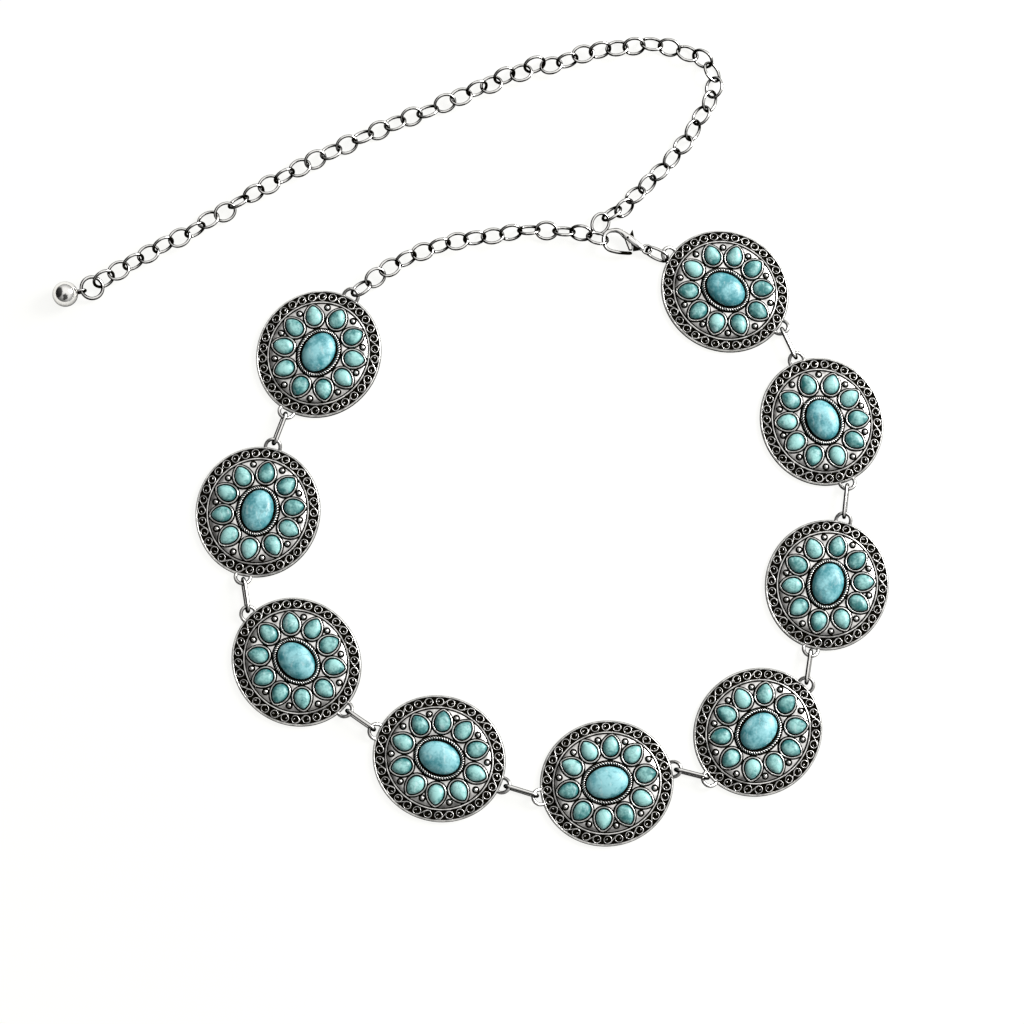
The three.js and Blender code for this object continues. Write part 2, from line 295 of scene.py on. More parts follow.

# All links: degrees in a step of roll, the most that the lean adds, how far the longer links are rolled and
# how straight their sides are, the tones, which set how far the painted dark reflection reaches up a wire's
# sides, and how much painted shadow darkens a link inside its bends, where the next link passes
ROLL_STEP = 10
CHAIN_LEAN = 10
CONNECTOR_ROLL = 76
CONNECTOR_STRAIGHTNESS = 5
CONNECTOR_TONE = 0.4
CLASP_LINK_ROLL = 56
CLASP_LINK_STRAIGHTNESS = 1.6
LINK_TONE = 0.36
INSIDE_BEND_PAINTED_SHADOW = 0.7
RING_STEPS = 40
RING_SIDES = 12

# Free end: the ring, the ball with its tone halfway up and how that falls towards the top, which paints a grey
# band of dark reflection round its sides, and its eyelet
END_RING_PLACE = {"x": -152.1, "y": 56.9, "z": 2.9, "heading": 14, "roll": 14, "pitch": 8}
END_RING_STEPS = 56
BALL_PLACE = (-162.5, 53.7)
END_BALL_SEGMENTS = 64
END_BALL_RINGS = 40
END_BALL_TONE = 0.74
END_BALL_TONE_FALL = 0.38
EYELET_FROM_BALL = 6.2
EYELET_DROP = 1.5

# Clasp, drawn in its own plane with the eye at the origin and the hook towards -X. The body's rows are x, y,
# half the width, half the thickness and tone, from the eye round to the hook's tip, and a rivet's are radius
# and height
CLASP_PLACE = {"x": 71.3, "y": 75.3, "z": 2.4, "pitch": 5.4}
CLASP_STEPS_A_ROW = 6
CLASP_SIDES = 20
CLASP_BODY = [
    (-1.7, 0.1, 1.0, 0.8, 0.5),
    (-2.6, 0.7, 1.3, 1.15, 0.5),
    (-4.2, 1.9, 1.55, 1.38, 0.55),
    (-6.4, 3.7, 1.65, 1.4, 0.55),
    (-8.6, 5.4, 1.5, 1.4, 0.55),
    (-10.6, 6.9, 1.1, 1.15, 0.5),
    (-12.7, 7.5, 0.95, 0.9, 0.45),
    (-15.8, 6.9, 0.8, 0.75, 0.42),
    (-17.6, 4.7, 0.74, 0.7, 0.42),
    (-17.6, 1.8, 0.7, 0.68, 0.4),
    (-15.9, -0.6, 0.7, 0.68, 0.4),
    (-12.4, -1.6, 0.72, 0.72, 0.38),
    # The last three rows, at the hook's tip, have tone 0.1: a painted shadow
    (-8.8, -1.85, 0.7, 0.8, 0.1),
    (-6.8, -1.85, 0.66, 0.75, 0.1),
    (-6.1, -1.8, 0.35, 0.4, 0.1),
]
# Outline of the black cheeks beside the slot: dark sheets put where the inside of the body is in shade
CLASP_SHADE_WEB = [(-5.5, 2.3), (-5.6, -0.9), (-2.7, -0.3), (-3.2, 1.3)]
CLASP_CHEEK_THICKNESS = 0.36
CLASP_CHEEK_HEIGHT = 0.76
CLASP_SLOT = {"from_x": -9.9, "to_x": -3.3, "from_y": -0.5, "to_y": 12, "height": 1.3}
PIVOT = (-8, 4.4)
RIVET = [(0.55, 1.2), (0.42, 1.48)]
RIVET_SIDES = 14
LEVER_OUTLINE = [
    (-9.3, 4.5),
    (-8.6, 2.6),
    (-7.9, 0.8),
    (-7.3, -0.75),
    (-5.95, -0.65),
    (-5.95, 0.9),
    (-6.4, 2.6),
    (-5.9, 4.3),
    (-5.2, 4.7),
    (-5.9, 8.0),
    (-6.9, 6.0),
]
# Lever: width of the dark edge painted round it as a dark reflection, and its tone; then the tone of the dark
# parts: the pivot pin's ends, the lever's painted edge and the part beyond the pivot
LEVER_DARK_EDGE = 0.45
LEVER_TONE = 0.32
DARK_PART_TONE = 0.1
SLAB_BEVEL = 0.12
CLASP_LINK_IN_EYE = -0.3
CLASP_LINK_IN_LOOP = 1
CLASP_LINK_SAG = 2.7

# Camera: what it looks at, the way back from there to the lens, and how far
CAMERA_TARGET = (16.7, -32.7, 0)
CAMERA_BACK = (-0.04, -0.17)
CAMERA_DISTANCE = 1250
CAMERA_LENS = 110
SENSOR_WIDTH = 36
CAMERA_NEAREST = 0.01

# Floor, and the light from the right that is aimed at the middle, in metres
FLOOR_HALF_SIZE = 6
FLOOR_GLOW = 9.5
SIDE_LIGHT_PLACE = (1.3, 0.62, 0.95)
SIDE_LIGHT_SIZE = 0.8
SIDE_LIGHT_POWER = 40

# Finishes: roughness of the matt black, which stands for oxidised metal and painted shade, depth of a bump of
# full strength in metres, and the stones' pale streaks
OXIDE_ROUGHNESS = 0.8
BUMP_DEPTH = 0.0001
STREAK_COLOUR = (0.55, 0.74, 0.74)

# Dark shapes round the stage: the way to each, and how near to its way the dark begins and is full
DARK_SHAPES = [
    (-0.85, 0.1, 0.5, 0.68, 0.82),
    (0.12, -0.62, 0.77, 0.87, 0.94),
]
SHAPE_DARKNESS = 0.92


def size_setting(name, description, millimetres):
    return FloatProperty(name=name, description=description, default=millimetres * MM, unit="LENGTH")


def colour_setting(name, description, default):
    return FloatVectorProperty(name=name, description=description, default=default, subtype="COLOR")


class ConchoSizes(PropertyGroup):
    """Sizes of a concho and its ornament."""

    length: size_setting("Length", "Long axis of the plate", 52.9)
    width: size_setting("Width", "Short axis of the plate", 49.5)
    loop: size_setting("Loop", "Outer diameter of a plate's loops", 7.3)
    loop_wire: size_setting("Loop wire", "Diameter of a loop's wire", 1.4)
    scroll_pairs: IntProperty(
        name="Scroll pairs", description="S-shaped double scrolls round the band", default=17, min=3
    )
    scroll_size: size_setting("Scroll size", "Diameter of one scroll", 3.5)
    scroll_line: size_setting("Scroll line", "Width of a scroll's raised line", 0.54)
    petal_length: size_setting("Petal length", "Length of a petal stone", 8.0)
    petal_width: size_setting("Petal width", "Width of a petal stone", 6.2)
    petal_height: size_setting("Petal height", "Height of a petal stone", 2.0)
    centre_length: size_setting("Centre length", "Length of the centre stone", 16.6)
    centre_width: size_setting("Centre width", "Width of the centre stone", 12.4)
    centre_height: size_setting("Centre height", "Height of the centre stone", 3.4)
    rope_wire: size_setting("Rope", "Thickness of the rope border", 1.35)
    ball: size_setting("Ball", "Diameter of a small ball", 1.9)


class ChainSizes(PropertyGroup):
    """Sizes of the chain, its links, the free end and the clasp."""

    link_length: size_setting("Link length", "Length of a cable chain link", 9.7)
    link_width: size_setting("Link width", "Width of a cable chain link", 8)
    link_wire: size_setting("Link wire", "Wire of a cable chain link", 1.22)
    connector_length: size_setting("Connector length", "Link between conchos", 14.7)
    connector_width: size_setting("Connector width", "Link between conchos", 5.4)
    connector_wire: size_setting("Connector wire", "Link between conchos", 1.5)
    end_ring: size_setting("End ring", "Outer diameter of the end ring", 10)
    end_ring_wire: size_setting("End ring wire", "Wire of the end ring", 1.4)
    end_ball: size_setting("End ball", "Diameter of the end ball", 10.2)
    eyelet: size_setting("Eyelet", "Outer diameter of the ball's eyelet", 5)
    eyelet_wire: size_setting("Eyelet wire", "Wire of the ball's eyelet", 1.1)
    clasp_eye: size_setting("Clasp eye", "Outer diameter of the clasp's eye", 4.5)
    clasp_eye_wire: size_setting("Clasp eye wire", "Wire of the clasp's eye", 1.05)
    clasp_link_length: size_setting("Clasp link length", "Link at the clasp's eye", 10.3)
    clasp_link_width: size_setting("Clasp link width", "Link at the clasp's eye", 6.3)
    lever_thickness: size_setting("Lever", "Thickness of the clasp's lever", 1)


class BeltColours(PropertyGroup):
    """Colours of the metal, the stones and the floor."""

    silver: colour_setting("Silver", "Polished metal", (0.92, 0.905, 0.875))
    # The same black is also painted on steep walls and low on wire sides as dark reflection and shadow
    oxide_and_shade: colour_setting("Oxide", "Blackened metal in the recesses", (0.0035, 0.003, 0.0018))
    petal_light: colour_setting("Petal light", "Light turquoise of the petals", (0.33, 0.64, 0.61))
    petal_deep: colour_setting("Petal deep", "Deep turquoise of the petals", (0.022, 0.17, 0.17))
    centre_light: colour_setting("Centre light", "Light blue of the centre stones", (0.27, 0.59, 0.63))
    centre_deep: colour_setting("Centre deep", "Deep blue of the centre stones", (0.04, 0.25, 0.29))
    vein: colour_setting("Vein", "Veins in the stones", (0.06, 0.15, 0.16))
    floor: colour_setting("Floor", "The pale floor, which is lit from below", (0.095, 0.095, 0.093))


class BeltSettings(PropertyGroup):
    """All settings of the belt."""

    concho: PointerProperty(type=ConchoSizes)
    chain: PointerProperty(type=ChainSizes)
    colours: PointerProperty(type=BeltColours)


def in_millimetres(group):
    """A property group's sizes as plain numbers in millimetres, and its counts as they are."""
    values = {}
    for name in group.__annotations__:
        value = getattr(group, name)
        values[name] = value if isinstance(value, int) else value / MM
    return SimpleNamespace(**values)


# Places: heading turns about Z, pitch tips the +X end down, and roll turns about the piece's own length


def placing(x=0, y=0, z=0, heading=0, pitch=0, roll=0):
    turn = Matrix.Rotation(radians(heading), 4, "Z")
    tip = Matrix.Rotation(radians(pitch), 4, "Y")
    twist = Matrix.Rotation(radians(roll), 4, "X")
    return Matrix.Translation((x, y, z)) @ turn @ tip @ twist


# Shapes: each bends a plain ring or column from a bmesh operator, and gives its vertices their tone


def new_shape():
    shape = bmesh.new()
    shape.verts.layers.float.new("tone")
    return shape


def bend(shape, bending):
    """Moves each vertex to the point, and gives it the tone, that bending returns for where it was."""
    tone = shape.verts.layers.float["tone"]
    for vertex in shape.verts:
        point, vertex_tone = bending(vertex.co.copy())
        vertex.co = point
        vertex[tone] = vertex_tone


def mesh_of(name, shape):
    """A mesh with that shape in it, which is used up."""
    mesh = bpy.data.meshes.new(name)
    shape.to_mesh(mesh)
    shape.free()
    return mesh


def put(name, data):
    """Adds an object with that data to the scene."""
    item = bpy.data.objects.new(name, data)
    bpy.context.scene.collection.objects.link(item)
    return item


def join(shape, part):
    """Adds the part to the shape, and uses the part up."""
    mesh = mesh_of("part", part)
    shape.from_mesh(mesh)
    bpy.data.meshes.remove(mesh)


def spin_round(shape, line, steps):
    """Spins a line of vertices and edges once round Z."""
    bmesh.ops.spin(
        shape,
        geom=line,
        cent=(0, 0, 0),
        axis=(0, 0, 1),
        dvec=(0, 0, 0),
        angle=FULL_TURN,
        steps=steps,
        use_merge=True,
    )


def add_ring(shape, corners, steps, place_vertex):
    """A closed ring whose section has that many corners, each where place_vertex(heading, corner) puts it."""
    reach = 4
    part = new_shape()
    upright = Matrix.Translation((reach, 0, 0)) @ Matrix.Rotation(pi / 2, 4, "X")
    section = bmesh.ops.create_circle(part, cap_ends=False, segments=corners, radius=1, matrix=upright)
    spin_round(part, [*section["verts"], *part.edges], steps)

    def bending(point):
        heading = atan2(point.y, point.x)
        turn = atan2(point.z, hypot(point.x, point.y) - reach) - pi / 2
        corner = round(turn / FULL_TURN * corners) % corners
        return place_vertex(heading, corner)

    bend(part, bending)
    join(shape, part)


def add_column(shape, sides, rows, place_vertex):
    """A closed column with flat ends, its rows from below each where place_vertex(heading, row) puts them."""
    part = new_shape()
    bmesh.ops.create_cone(part, cap_ends=True, cap_tris=False, segments=sides, radius1=1, radius2=1, depth=1)
    upright = [edge for edge in part.edges if abs(edge.verts[0].co.z - edge.verts[1].co.z) > 0.5]
    if rows > 2:
        bmesh.ops.subdivide_edges(part, edges=upright, cuts=rows - 2, use_grid_fill=True)

    def bending(point):
        heading = atan2(point.y, point.x)
        row = round((point.z + 0.5) * (rows - 1))
        return place_vertex(heading, row)

    bend(part, bending)
    join(shape, part)


def add_link(shape, length, width, wire, place, tone=LINK_TONE, straight=1, steps=RING_STEPS):
    """A ring of round wire drawn out along its length: an oval, or straight-sided where straight is large."""
    mean = (width - wire) / 2
    stretch = (length - width) / 2

    def wire_vertex(heading, corner):
        angle = FULL_TURN * corner / RING_SIDES
        radius = mean + wire / 2 * sin(angle)
        x = radius * cos(heading) + stretch * max(-1, min(1, straight * cos(heading)))
        point = place @ Vector((x, radius * sin(heading), wire / 2 * cos(angle)))
        # Tone: painted shadow inside the ends, where the next link passes, under the painted dark reflection
        # that the finish puts low on the wire
        return point, tone - INSIDE_BEND_PAINTED_SHADOW * cos(heading) ** 4 * max(0, -sin(angle))

    add_ring(shape, RING_SIDES, steps, wire_vertex)


def between_rows(table, place):
    """The table's columns on a smooth curve between its rows: place 1.5 is halfway from row 1 to row 2."""
    before_first = [2 * a - b for a, b in zip(table[0], table[1])]
    after_last = [2 * a - b for a, b in zip(table[-1], table[-2])]
    rows = [before_first, *table, after_last]
    place = min(max(place, 0), len(table) - 1)
    start = min(int(place), len(table) - 2)
    t = place - start
    values = []
    for before, low, high, after in zip(*rows[start:start + 4]):
        leaving = (high - before) / 2
        arriving = (after - low) / 2
        cube = t * t * t
        square = t * t
        value = low * (2 * cube - 3 * square + 1) + high * (3 * square - 2 * cube)
        values.append(value + leaving * (cube - 2 * square + t) + arriving * (cube - square))
    return values


def drop_outline(heading, half_length, half_width):
    """A drop's outline, with its point towards +X."""
    narrowing = abs(sin(heading / 2)) ** DROP_POINT / DROP_WIDEST
    return half_length * cos(heading), half_width * sin(heading) * narrowing


def oval_outline(heading, half_length, half_width):
    return half_length * cos(heading), half_width * sin(heading)


def field_height(x, y, narrowing):
    """Height of a plate's slightly domed field."""
    edge_radius, edge_height = FIELD_EDGE
    middle_radius, middle_height = FIELD_MIDDLE
    radius = min(max(hypot(x, y / narrowing), middle_radius), edge_radius)
    share = (radius - middle_radius) / (edge_radius - middle_radius)
    return middle_height + (edge_height - middle_height) * share


def make_piece(name, shape, slot, replaces=(), body=BELT, sharp=None, place=None):
    """Makes the shape into an object in metres that rides on its body. Edges over sharp degrees are crisp."""
    if place is not None:
        bmesh.ops.transform(shape, matrix=place, verts=shape.verts)
    bmesh.ops.remove_doubles(shape, verts=shape.verts, dist=SAME_PLACE)
    bmesh.ops.recalc_face_normals(shape, faces=shape.faces)
    bmesh.ops.scale(shape, vec=(MM, MM, MM), verts=shape.verts)
    for face in shape.faces:
        face.smooth = True
    if sharp is not None:
        for edge in shape.edges:
            edge.smooth = edge.calc_face_angle(0) < radians(sharp)
    piece = put(name, mesh_of(name, shape))
    piece.data.materials.append(finish_for(slot))
    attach(piece, body)
    if replaces:
        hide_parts(*replaces)


def concho_places():
    return [placing(x, y, 0, turn) for x, y, turn in CONCHOS]


def copy_to_conchos(name, master, replaced_node=None, sharp=None):
    """One copy of a concho's silver piece at each concho."""
    model = mesh_of(name, master)
    for i, place in enumerate(concho_places(), start=1):
        copy = bmesh.new()
        copy.from_mesh(model)
        replaces = (f"{replaced_node}_{i}",) if replaced_node else ()
        make_piece(f"{name}_{i}", copy, ANTIQUE_SILVER, replaces, BELT, sharp, place)
    bpy.data.meshes.remove(model)


# Finishes

SHADER_SOCKETS = {
    "base_color": "Base Color",
    "metallic": "Metallic",
    "roughness": "Roughness",
    "ior": "IOR",
    "emission": "Emission Strength",
    "emission_color": "Emission Color",
}


def opaque(colour, brightness=1):
    """The colour at that share of its brightness, with full alpha."""
    return (*(value * brightness for value in colour), 1)


class Value:
    """What a shader node of the maker's tree puts out. Python's arithmetic on it adds Math nodes."""

    def __init__(self, maker, socket):
        self.maker = maker
        self.socket = socket

    def maths(self, operation, first, second):
        return self.maker.node("ShaderNodeMath", {"operation": operation}, {0: first, 1: second})

    def __add__(self, other):
        return self.maths("ADD", self, other)

    def __radd__(self, other):
        return self.maths("ADD", other, self)

    def __sub__(self, other):
        return self.maths("SUBTRACT", self, other)

    def __rsub__(self, other):
        return self.maths("SUBTRACT", other, self)

    def __mul__(self, other):
        return self.maths("MULTIPLY", self, other)

    def __rmul__(self, other):
        return self.maths("MULTIPLY", other, self)

    def rise(self, low, high):
        """0 up to low, 1 from high on, and a smooth rise between."""
        sockets = {"Value": self, "From Min": low, "From Max": high}
        return self.maker.node("ShaderNodeMapRange", {"interpolation_type": "SMOOTHSTEP"}, sockets)


class Nodes:
    """Adds and links the shader nodes of one node tree."""

    def __init__(self, tree, place_kind="Object"):
        self.nodes = tree.nodes
        self.links = tree.links
        self.place = self.node("ShaderNodeTexCoord", output=place_kind)

    def node(self, kind, settings=None, sockets=None, output=0):
        node = self.nodes.new(kind)
        for name, value in (settings or {}).items():
            setattr(node, name, value)
        for socket, value in (sockets or {}).items():
            self.feed(node.inputs[socket], value)
        return Value(self, node.outputs[output])

    def feed(self, socket, value):
        if isinstance(value, Value):
            self.links.new(value.socket, socket)
        else:
            socket.default_value = value

    def noise(self, scale, detail, place=None, output="Fac"):
        sockets = {"Vector": place or self.place, "Scale": scale, "Detail": detail}
        return self.node("ShaderNodeTexNoise", {}, sockets, output)

    def mix(self, factor, first, second):
        return self.node("ShaderNodeMix", {"data_type": "RGBA"}, {0: factor, 6: first, 7: second}, 2)

    def vector(self, operation, *values, output=0):
        return self.node("ShaderNodeVectorMath", {"operation": operation}, dict(enumerate(values)), output)

    def towards(self, way, direction):
        """1 where the way is that direction, 0 where it is square to it and -1 where it is the opposite."""
        return self.vector("DOT_PRODUCT", way, direction, output="Value")


class Finish(Nodes):
    """A material on a Principled shader, whose unchanging values are set on the shader itself."""

    def __init__(self, name, **constants):
        self.material = bpy.data.materials.new(name)
        self.material.use_nodes = True
        super().__init__(self.material.node_tree)
        self.shader = self.nodes["Principled BSDF"]
        for socket, value in constants.items():
            self.shader.inputs[SHADER_SOCKETS[socket]].default_value = value

    def tone(self):
        return self.node("ShaderNodeAttribute", {"attribute_name": "tone"}, output="Fac")

    def facing(self):
        """1 on faces that look up, 0 on upright ones and -1 on those that look down."""
        return self.towards(self.node("ShaderNodeTexCoord", output="Normal"), (0, 0, 1))

    def bump(self, height, strength):
        sockets = {"Height": height, "Strength": strength, "Distance": BUMP_DEPTH}
        self.feed(self.shader.inputs["Normal"], self.node("ShaderNodeBump", {}, sockets))

    def paint(self, **values):
        for socket, value in values.items():
            self.feed(self.shader.inputs[SHADER_SOCKETS[socket]], value)
        return self.material

    def blacken(self, bright, oxide_and_shade):
        """Covers the metal with matt black, except where bright is 1: oxidised metal in the recesses, and
        painted dark reflection and shadow on steep sides and where parts meet.
        """
        sockets = {"Base Color": opaque(oxide_and_shade), "Roughness": OXIDE_ROUGHNESS, "Specular IOR Level": 0}
        black = self.node("ShaderNodeBsdfPrincipled", {}, sockets)
        metal = Value(self, self.shader.outputs[0])
        mixed = self.node("ShaderNodeMixShader", {}, {0: bright, 1: black, 2: metal})
        self.feed(self.nodes["Material Output"].inputs["Surface"], mixed)


def antique_silver(name, colours):
    """Cast silver-coloured metal: bright on what stands out, black oxidation in the recesses, and black
    painted on steep walls as a dark reflection.
    """
    finish = Finish(name, metallic=1)
    patches = finish.noise(1000, 3)
    grain = finish.noise(5200, 2)
    wear = finish.tone() + (patches - 0.5) * 0.45
    # Facing paints steep walls black as a dark reflection; low tone is oxidation in the recesses, and painted
    # shade on the plate's outer wall, the loops' lower sides and the small balls' feet
    bright = wear.rise(0.26, 0.6) * finish.facing().rise(0.08, 0.46)
    tarnish = finish.noise(330, 4).rise(0.38, 0.66) * 0.8
    finish.bump(grain * 0.5 + patches, 0.15)
    finish.blacken(bright, colours.oxide_and_shade)
    return finish.paint(
        base_color=finish.mix(tarnish, opaque(colours.silver), opaque(colours.silver, 0.45)),
        roughness=0.26 + patches * 0.1,
    )


def polished_silver(name, colours):
    """Bright wire and ball, painted black low on their sides as a dark reflection, and darker still where
    their tone is low.
    """
    finish = Finish(name, metallic=1)
    marks = finish.noise(1800, 3)
    clouds = finish.noise(300, 3).rise(0.45, 0.8) * 0.5
    # Painted dark reflection and shade: black where the wire turns away from the sky and where the tone is low
    polished_and_lit = finish.facing() + finish.tone() * 2 + (marks - 0.5) * 0.12
    finish.bump(marks, 0.03)
    finish.blacken(polished_and_lit.rise(1.42, 1.66), colours.oxide_and_shade)
    return finish.paint(
        base_color=finish.mix(clouds, opaque(colours.silver), opaque(colours.silver, 0.75)),
        roughness=0.1 + marks * 0.06,
    )


def turquoise(name, light, deep, vein, vein_scale, streak):
    """Polished turquoise: cloudy between two shades, with pale streaks and fine crackled veins, and deeper
    towards its steep edges as painted shade.
    """
    finish = Finish(name, ior=1.55)
    shade = finish.tone()
    clouds = finish.noise(230, 5)
    fine = finish.noise(1100, 4)
    shift = finish.noise(420, 3, output="Color")
    moved = finish.vector("MULTIPLY_ADD", shift, (0.0024, 0.0024, 0.0024), finish.place)
    sockets = {"Vector": moved, "Scale": vein_scale}
    cracks = finish.node("ShaderNodeTexVoronoi", {"feature": "DISTANCE_TO_EDGE"}, sockets, "Distance")
    drawn_out = finish.vector("MULTIPLY", moved, (1.0, 0.28, 1.0))
    streaks = finish.noise(620, 3, drawn_out).rise(0.56, 0.74) * streak
    steep = 1 - finish.facing()
    # steep paints the dome's edges deeper in colour as shade
    depth = (clouds * 0.75 + fine * 0.3 + (shade - 0.5) * 0.15 - steep * 0.16).rise(0.33, 0.63)
    veins = (1 - cracks.rise(0.0, 0.07)) * finish.noise(150, 3).rise(0.38, 0.62)
    stone = finish.mix(depth, opaque(deep), opaque(light))
    stone = finish.mix(streaks, stone, opaque(STREAK_COLOUR))
    finish.bump(fine - veins * 0.6, 0.08)
    return finish.paint(
        base_color=finish.mix(veins * 0.3, stone, opaque(vein)),
        roughness=0.34 + fine * 0.1 + veins * 0.2,
    )


def centre_turquoise(name, colours):
    return turquoise(
        name, colours.centre_light, colours.centre_deep, colours.vein, vein_scale=190, streak=0.45
    )


def petal_turquoise(name, colours):
    return turquoise(name, colours.petal_light, colours.petal_deep, colours.vein, vein_scale=300, streak=0.5)


def pale_floor(colours):
    """Pale acrylic board that is lit from below, as for photographs, with the slightest unevenness."""
    finish = Finish("Pale floor", roughness=0.7, emission=FLOOR_GLOW)
    colour = finish.mix(finish.noise(3, 3), opaque(colours.floor), opaque(colours.floor, 0.985))
    return finish.paint(base_color=colour, emission_color=colour)


FINISHES = {
    ANTIQUE_SILVER: antique_silver,
    POLISHED_SILVER: polished_silver,
    CENTRE_TURQUOISE: centre_turquoise,
    PETAL_TURQUOISE: petal_turquoise,
}


def finish_for(slot):
    """The slot's material, which is made with the first piece that has it."""
    name = slot.replace("_", " ").capitalize()
    return bpy.data.materials.get(name) or FINISHES[slot](name, bpy.context.scene.concho_belt.colours)


# Operators: one for the stage and one for each group of like pieces


class BELT_OT_stage(Operator):
    """Lays the pale floor and sets the soft light and the camera"""

    bl_idname = "belt.stage"
    bl_label = "Stage"

    def execute(self, context):
        scene = context.scene
        scene.view_settings.view_transform = "Standard"
        shape = bmesh.new()
        bmesh.ops.create_grid(shape, x_segments=8, y_segments=8, size=FLOOR_HALF_SIZE)
        floor = put("floor", mesh_of("floor", shape))
        floor.data.materials.append(pale_floor(scene.concho_belt.colours))
        self.add_world(scene)
        self.add_side_light()
        self.add_camera(scene)
        return {"FINISHED"}

    def add_side_light(self):
        light = bpy.data.lights.new("side_light", "AREA")
        light.shape = "SQUARE"
        light.size = SIDE_LIGHT_SIZE
        light.energy = SIDE_LIGHT_POWER
        lamp = put("side_light", light)
        lamp.location = SIDE_LIGHT_PLACE
        lamp.rotation_euler = lamp.location.to_track_quat("Z", "Y").to_euler()

    def add_world(self, scene):
        """A bright studio, dimmer low down and on the left, with dark shapes that show in the reflections."""
        world = bpy.data.worlds.new("studio")
        world.use_nodes = True
        nodes = Nodes(world.node_tree, "Generated")
        ways = nodes.place
        height = nodes.node("ShaderNodeSeparateXYZ", {}, {0: ways}, "Z")
        rightward = nodes.towards(ways, (0.8, 0.5, 0.0))
        light = 0.4 + height.rise(0.1, 0.8) * 0.6
        light = light * (0.3 + rightward.rise(-0.85, 0.1) * 0.7)
        ragged = nodes.vector("SUBTRACT", nodes.noise(2.5, 3, output="Color"), (0.5, 0.5, 0.5))
        ragged = nodes.vector("MULTIPLY_ADD", ragged, (0.4, 0.4, 0.4), ways)
        for x, y, z, edge, full in DARK_SHAPES:
            nearness = nodes.towards(ragged, tuple(Vector((x, y, z)).normalized()))
            light = light * (1 - nearness.rise(edge, full) * SHAPE_DARKNESS)
        grey = nodes.node("ShaderNodeCombineColor", {}, {0: light, 1: light, 2: light})
        nodes.feed(nodes.nodes["Background"].inputs["Color"], grey)
        scene.world = world

    def add_camera(self, scene):
        lens = bpy.data.cameras.new("camera")
        lens.lens = CAMERA_LENS
        lens.sensor_width = SENSOR_WIDTH
        lens.clip_start = CAMERA_NEAREST
        x, y = CAMERA_BACK
        back = Vector((x, y, sqrt(1 - x * x - y * y)))
        right = Vector((0, 1, 0)).cross(back).normalized()
        turn = Matrix((right, back.cross(right), back)).transposed().to_4x4()
        location = (Vector(CAMERA_TARGET) + back * CAMERA_DISTANCE) * MM
        camera = put("camera", lens)
        camera.matrix_world = Matrix.Translation(location) @ turn
        scene.camera = camera


class BELT_OT_plates(Operator):
    """Turns the concho plates with rim, band, inner ring and field, and solders on their two loops"""

    bl_idname = "belt.plates"
    bl_label = "Concho plates"

    def execute(self, context):
        sizes = in_millimetres(context.scene.concho_belt.concho)
        shape = new_shape()
        tone = shape.verts.layers.float["tone"]
        profile = []
        for radius, height, row_tone in PLATE_PROFILE:
            vertex = shape.verts.new((radius, 0, height))
            vertex[tone] = row_tone
            profile.append(vertex)
        edges = [shape.edges.new(pair) for pair in zip(profile, profile[1:])]
        spin_round(shape, [*profile, *edges], PLATE_STEPS)
        bmesh.ops.scale(shape, vec=(1, sizes.width / sizes.length, 1), verts=shape.verts)
        for side in (1, -1):
            self.add_loop(shape, sizes, side)
        copy_to_conchos("plate", shape, "concho_plate", CRISP_EDGE)
        return {"FINISHED"}

    def add_loop(self, shape, sizes, side):
        """A loop whose two ends are soldered into the plate's edge."""
        root, root_height = LOOP_ROOT
        mean = (sizes.loop - sizes.loop_wire) / 2
        half_arc = acos((root - LOOP_FROM_MIDDLE) / mean)

        def loop_vertex(turn, row):
            heading = half_arc * (2 * row / (LOOP_ROWS - 1) - 1)
            reach = LOOP_FROM_MIDDLE + mean * cos(heading)
            height = root_height + LOOP_RISE * (reach - root)
            outwards = sizes.loop_wire / 2 * cos(turn)
            x = side * (reach + outwards * cos(heading))
            y = (mean + outwards) * sin(heading)
            # Tone: the wire's lower side is painted black as a dark reflection, and the inside of its far end
            # as the shadow of the connector that hangs there
            tone = 1.6 * sin(turn) - 0.7 - 0.6 * max(0, cos(heading)) * max(0, -cos(turn))
            return Vector((x, y, height + sizes.loop_wire / 2 * sin(turn))), tone

        add_column(shape, LOOP_SIDES, LOOP_ROWS, loop_vertex)


